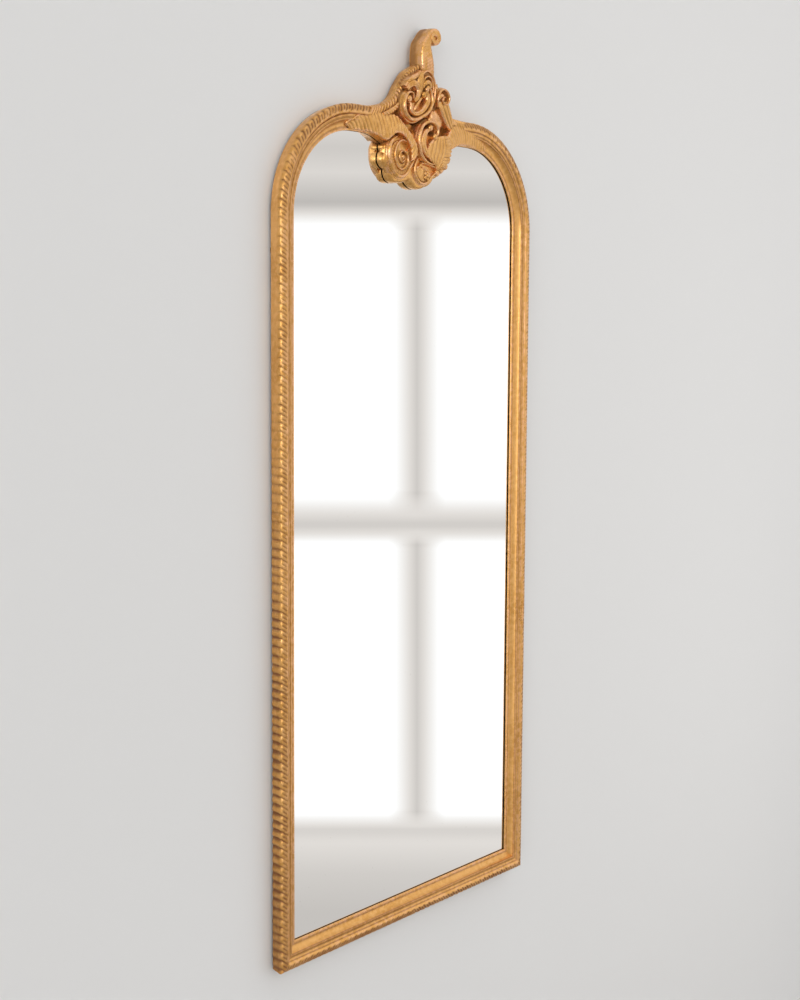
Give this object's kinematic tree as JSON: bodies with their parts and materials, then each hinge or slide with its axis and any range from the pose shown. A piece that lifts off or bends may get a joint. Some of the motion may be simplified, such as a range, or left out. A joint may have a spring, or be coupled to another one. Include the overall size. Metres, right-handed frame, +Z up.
{
  "type": "wall mirror",
  "caption": "Tall giltwood wall mirror with rounded top corners, gadrooned moulding, carved rocaille crest and two swinging D-ring hangers on the back.",
  "frame": {"origin": "on the wall plane that the back pads touch, centred on the bottom rail, level with the rail's underside", "axes": "+X to the right as the viewer faces the mirror, +Y into the wall, +Z up"},
  "size_m": [0.89, 0.057, 1.999],
  "materials": {
    "gilt_moulding": "water-gilded gesso over wood, aged, red bole showing on the high points",
    "gilt_carving": "water-gilded carved wood, burnished on the scroll rims",
    "silvered_glass": "clear silvered float glass, polished",
    "black_card": "matt black card",
    "board_wood": "raw thin board, aged",
    "plate_iron": "blackened iron, a little rust",
    "screw_steel": "dull zinc-plated steel",
    "hanger_steel": "brass-plated steel, worn",
    "pad_felt": "pressed brown felt"
  },
  "bodies": {
    "mirror_frame": {"back_board": "board_wood", "back_board_screws": "screw_steel", "bottom_rail": "gilt_moulding", "centre_scroll": "gilt_carving", "corner_plate_left": "plate_iron", "corner_plate_right": "plate_iron", "corner_plate_screws": "screw_steel", "crest_block": "gilt_carving", "crest_strap": "plate_iron", "crest_strap_screws": "screw_steel", "crown_curl": "gilt_carving", "flame_leaf": "gilt_carving", "glass_liner": "black_card", "hanger_screws": "screw_steel", "hanger_strap_left": "hanger_steel", "hanger_strap_right": "hanger_steel", "left_arch_rail": "gilt_moulding", "left_shoulder": "gilt_carving", "left_stile": "gilt_moulding", "left_volute": "gilt_carving", "left_wing": "gilt_carving", "mirror_glass": "silvered_glass", "pendant_boss": "gilt_carving", "pendant_shell": "gilt_carving", "plume_finial": "gilt_carving", "right_arch_rail": "gilt_moulding", "right_shoulder": "gilt_carving", "right_stile": "gilt_moulding", "right_volute_leaf": "gilt_carving", "right_wing": "gilt_carving", "rocaille_fan": "gilt_carving", "splice_plate_left": "plate_iron", "splice_plate_right": "plate_iron", "splice_plate_screws": "screw_steel", "upper_scroll": "gilt_carving", "wall_pads": "pad_felt"},
    "left_ring": {"d_ring_left": "hanger_steel"},
    "right_ring": {"d_ring_right": "hanger_steel"}
  },
  "joints": [
    {"name": "left_ring_swing", "type": "hinge", "parent": "mirror_frame", "child": "left_ring", "pos_m": [-0.425, -0.003, 1.42], "axis": [1, 0, 0], "range_deg": [0, 180]},
    {"name": "right_ring_swing", "type": "hinge", "parent": "mirror_frame", "child": "right_ring", "pos_m": [0.425, -0.003, 1.42], "axis": [1, 0, 0], "range_deg": [0, 180]}
  ]
}
